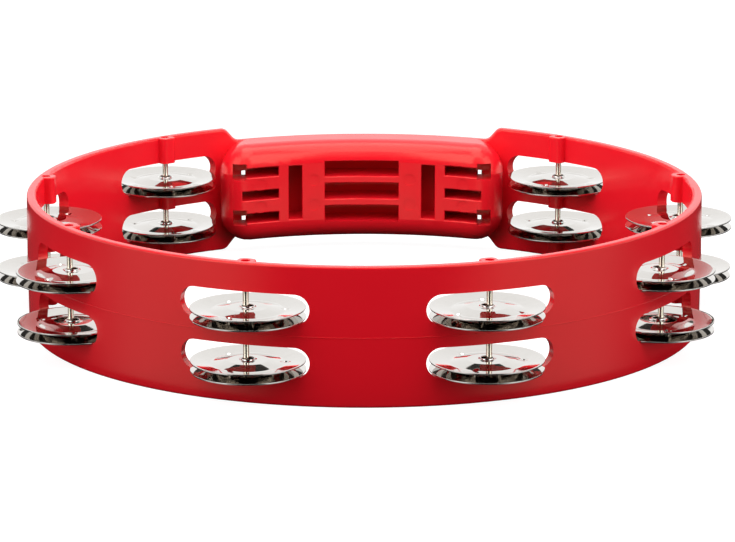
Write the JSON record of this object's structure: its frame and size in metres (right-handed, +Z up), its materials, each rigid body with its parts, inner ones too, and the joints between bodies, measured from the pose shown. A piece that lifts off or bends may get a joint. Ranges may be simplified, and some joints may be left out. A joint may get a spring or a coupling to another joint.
{
  "type": "tambourine",
  "caption": "Headless handheld ring tambourine in moulded plastic with a cored handle, long pins and loose pairs of plated steel jingles in two rows of slots.",
  "frame": {"origin": "under the middle of the whole object's box, on the plane of the bottom rim", "axes": "+Z up through the ring's open middle, +Y towards the handle, -Y the front, +X to the right seen from the front"},
  "size_m": [0.2836, 0.2632, 0.0502],
  "materials": {
    "red_plastic": "glossy injection-moulded red ABS",
    "pin_steel": "bright drawn steel wire",
    "jingle_plate": "bright nickel plate on pressed steel sheet"
  },
  "bodies": {
    "frame": {"frame": "red_plastic", "pin_front_left": "pin_steel", "pin_left_front": "pin_steel", "pin_left_rear": "pin_steel", "pin_rear_left": "pin_steel", "pin_rear_right": "pin_steel", "pin_right_rear": "pin_steel", "pin_right_front": "pin_steel", "pin_front_right": "pin_steel"},
    "jingle_front_left_lower_bottom": {"jingle_front_left_lower_bottom": "jingle_plate"},
    "jingle_front_left_lower_top": {"jingle_front_left_lower_top": "jingle_plate"},
    "jingle_front_left_upper_bottom": {"jingle_front_left_upper_bottom": "jingle_plate"},
    "jingle_front_left_upper_top": {"jingle_front_left_upper_top": "jingle_plate"},
    "jingle_left_front_lower_bottom": {"jingle_left_front_lower_bottom": "jingle_plate"},
    "jingle_left_front_lower_top": {"jingle_left_front_lower_top": "jingle_plate"},
    "jingle_left_front_upper_bottom": {"jingle_left_front_upper_bottom": "jingle_plate"},
    "jingle_left_front_upper_top": {"jingle_left_front_upper_top": "jingle_plate"},
    "jingle_left_rear_lower_bottom": {"jingle_left_rear_lower_bottom": "jingle_plate"},
    "jingle_left_rear_lower_top": {"jingle_left_rear_lower_top": "jingle_plate"},
    "jingle_left_rear_upper_bottom": {"jingle_left_rear_upper_bottom": "jingle_plate"},
    "jingle_left_rear_upper_top": {"jingle_left_rear_upper_top": "jingle_plate"},
    "jingle_rear_left_lower_bottom": {"jingle_rear_left_lower_bottom": "jingle_plate"},
    "jingle_rear_left_lower_top": {"jingle_rear_left_lower_top": "jingle_plate"},
    "jingle_rear_left_upper_bottom": {"jingle_rear_left_upper_bottom": "jingle_plate"},
    "jingle_rear_left_upper_top": {"jingle_rear_left_upper_top": "jingle_plate"},
    "jingle_rear_right_lower_bottom": {"jingle_rear_right_lower_bottom": "jingle_plate"},
    "jingle_rear_right_lower_top": {"jingle_rear_right_lower_top": "jingle_plate"},
    "jingle_rear_right_upper_bottom": {"jingle_rear_right_upper_bottom": "jingle_plate"},
    "jingle_rear_right_upper_top": {"jingle_rear_right_upper_top": "jingle_plate"},
    "jingle_right_rear_lower_bottom": {"jingle_right_rear_lower_bottom": "jingle_plate"},
    "jingle_right_rear_lower_top": {"jingle_right_rear_lower_top": "jingle_plate"},
    "jingle_right_rear_upper_bottom": {"jingle_right_rear_upper_bottom": "jingle_plate"},
    "jingle_right_rear_upper_top": {"jingle_right_rear_upper_top": "jingle_plate"},
    "jingle_right_front_lower_bottom": {"jingle_right_front_lower_bottom": "jingle_plate"},
    "jingle_right_front_lower_top": {"jingle_right_front_lower_top": "jingle_plate"},
    "jingle_right_front_upper_bottom": {"jingle_right_front_upper_bottom": "jingle_plate"},
    "jingle_right_front_upper_top": {"jingle_right_front_upper_top": "jingle_plate"},
    "jingle_front_right_lower_bottom": {"jingle_front_right_lower_bottom": "jingle_plate"},
    "jingle_front_right_lower_top": {"jingle_front_right_lower_top": "jingle_plate"},
    "jingle_front_right_upper_bottom": {"jingle_front_right_upper_bottom": "jingle_plate"},
    "jingle_front_right_upper_top": {"jingle_front_right_upper_top": "jingle_plate"}
  },
  "joints": [
    {"name": "spin_front_left_lower", "type": "hinge", "parent": "frame", "child": "jingle_front_left_lower_bottom", "pos_m": [-0.0422, -0.11135, 0.01285], "axis": [0, 0, 1], "continuous": true},
    {"name": "lift_front_left_lower", "type": "slide", "parent": "jingle_front_left_lower_bottom", "child": "jingle_front_left_lower_top", "axis": [0, 0, 1], "range_m": [0, 0.0056]},
    {"name": "spin_front_left_upper", "type": "hinge", "parent": "frame", "child": "jingle_front_left_upper_bottom", "pos_m": [-0.0422, -0.11135, 0.03175], "axis": [0, 0, 1], "continuous": true},
    {"name": "lift_front_left_upper", "type": "slide", "parent": "jingle_front_left_upper_bottom", "child": "jingle_front_left_upper_top", "axis": [0, 0, 1], "range_m": [0, 0.0056]},
    {"name": "spin_left_front_lower", "type": "hinge", "parent": "frame", "child": "jingle_left_front_lower_bottom", "pos_m": [-0.10687, -0.0571, 0.01285], "axis": [0, 0, 1], "continuous": true},
    {"name": "lift_left_front_lower", "type": "slide", "parent": "jingle_left_front_lower_bottom", "child": "jingle_left_front_lower_top", "axis": [0, 0, 1], "range_m": [0, 0.0056]},
    {"name": "spin_left_front_upper", "type": "hinge", "parent": "frame", "child": "jingle_left_front_upper_bottom", "pos_m": [-0.10687, -0.0571, 0.03175], "axis": [0, 0, 1], "continuous": true},
    {"name": "lift_left_front_upper", "type": "slide", "parent": "jingle_left_front_upper_bottom", "child": "jingle_left_front_upper_top", "axis": [0, 0, 1], "range_m": [0, 0.0056]},
    {"name": "spin_left_rear_lower", "type": "hinge", "parent": "frame", "child": "jingle_left_rear_lower_bottom", "pos_m": [-0.12152, 0.02603, 0.01285], "axis": [0, 0, 1], "continuous": true},
    {"name": "lift_left_rear_lower", "type": "slide", "parent": "jingle_left_rear_lower_bottom", "child": "jingle_left_rear_lower_top", "axis": [0, 0, 1], "range_m": [0, 0.0056]},
    {"name": "spin_left_rear_upper", "type": "hinge", "parent": "frame", "child": "jingle_left_rear_upper_bottom", "pos_m": [-0.12152, 0.02603, 0.03175], "axis": [0, 0, 1], "continuous": true},
    {"name": "lift_left_rear_upper", "type": "slide", "parent": "jingle_left_rear_upper_bottom", "child": "jingle_left_rear_upper_top", "axis": [0, 0, 1], "range_m": [0, 0.0056]},
    {"name": "spin_rear_left_lower", "type": "hinge", "parent": "frame", "child": "jingle_rear_left_lower_bottom", "pos_m": [-0.07932, 0.09913, 0.01285], "axis": [0, 0, 1], "continuous": true},
    {"name": "lift_rear_left_lower", "type": "slide", "parent": "jingle_rear_left_lower_bottom", "child": "jingle_rear_left_lower_top", "axis": [0, 0, 1], "range_m": [0, 0.0056]},
    {"name": "spin_rear_left_upper", "type": "hinge", "parent": "frame", "child": "jingle_rear_left_upper_bottom", "pos_m": [-0.07932, 0.09913, 0.03175], "axis": [0, 0, 1], "continuous": true},
    {"name": "lift_rear_left_upper", "type": "slide", "parent": "jingle_rear_left_upper_bottom", "child": "jingle_rear_left_upper_top", "axis": [0, 0, 1], "range_m": [0, 0.0056]},
    {"name": "spin_rear_right_lower", "type": "hinge", "parent": "frame", "child": "jingle_rear_right_lower_bottom", "pos_m": [0.07932, 0.09913, 0.01285], "axis": [0, 0, 1], "continuous": true},
    {"name": "lift_rear_right_lower", "type": "slide", "parent": "jingle_rear_right_lower_bottom", "child": "jingle_rear_right_lower_top", "axis": [0, 0, 1], "range_m": [0, 0.0056]},
    {"name": "spin_rear_right_upper", "type": "hinge", "parent": "frame", "child": "jingle_rear_right_upper_bottom", "pos_m": [0.07932, 0.09913, 0.03175], "axis": [0, 0, 1], "continuous": true},
    {"name": "lift_rear_right_upper", "type": "slide", "parent": "jingle_rear_right_upper_bottom", "child": "jingle_rear_right_upper_top", "axis": [0, 0, 1], "range_m": [0, 0.0056]},
    {"name": "spin_right_rear_lower", "type": "hinge", "parent": "frame", "child": "jingle_right_rear_lower_bottom", "pos_m": [0.12152, 0.02603, 0.01285], "axis": [0, 0, 1], "continuous": true},
    {"name": "lift_right_rear_lower", "type": "slide", "parent": "jingle_right_rear_lower_bottom", "child": "jingle_right_rear_lower_top", "axis": [0, 0, 1], "range_m": [0, 0.0056]},
    {"name": "spin_right_rear_upper", "type": "hinge", "parent": "frame", "child": "jingle_right_rear_upper_bottom", "pos_m": [0.12152, 0.02603, 0.03175], "axis": [0, 0, 1], "continuous": true},
    {"name": "lift_right_rear_upper", "type": "slide", "parent": "jingle_right_rear_upper_bottom", "child": "jingle_right_rear_upper_top", "axis": [0, 0, 1], "range_m": [0, 0.0056]},
    {"name": "spin_right_front_lower", "type": "hinge", "parent": "frame", "child": "jingle_right_front_lower_bottom", "pos_m": [0.10687, -0.0571, 0.01285], "axis": [0, 0, 1], "continuous": true},
    {"name": "lift_right_front_lower", "type": "slide", "parent": "jingle_right_front_lower_bottom", "child": "jingle_right_front_lower_top", "axis": [0, 0, 1], "range_m": [0, 0.0056]},
    {"name": "spin_right_front_upper", "type": "hinge", "parent": "frame", "child": "jingle_right_front_upper_bottom", "pos_m": [0.10687, -0.0571, 0.03175], "axis": [0, 0, 1], "continuous": true},
    {"name": "lift_right_front_upper", "type": "slide", "parent": "jingle_right_front_upper_bottom", "child": "jingle_right_front_upper_top", "axis": [0, 0, 1], "range_m": [0, 0.0056]},
    {"name": "spin_front_right_lower", "type": "hinge", "parent": "frame", "child": "jingle_front_right_lower_bottom", "pos_m": [0.0422, -0.11135, 0.01285], "axis": [0, 0, 1], "continuous": true},
    {"name": "lift_front_right_lower", "type": "slide", "parent": "jingle_front_right_lower_bottom", "child": "jingle_front_right_lower_top", "axis": [0, 0, 1], "range_m": [0, 0.0056]},
    {"name": "spin_front_right_upper", "type": "hinge", "parent": "frame", "child": "jingle_front_right_upper_bottom", "pos_m": [0.0422, -0.11135, 0.03175], "axis": [0, 0, 1], "continuous": true},
    {"name": "lift_front_right_upper", "type": "slide", "parent": "jingle_front_right_upper_bottom", "child": "jingle_front_right_upper_top", "axis": [0, 0, 1], "range_m": [0, 0.0056]}
  ]
}
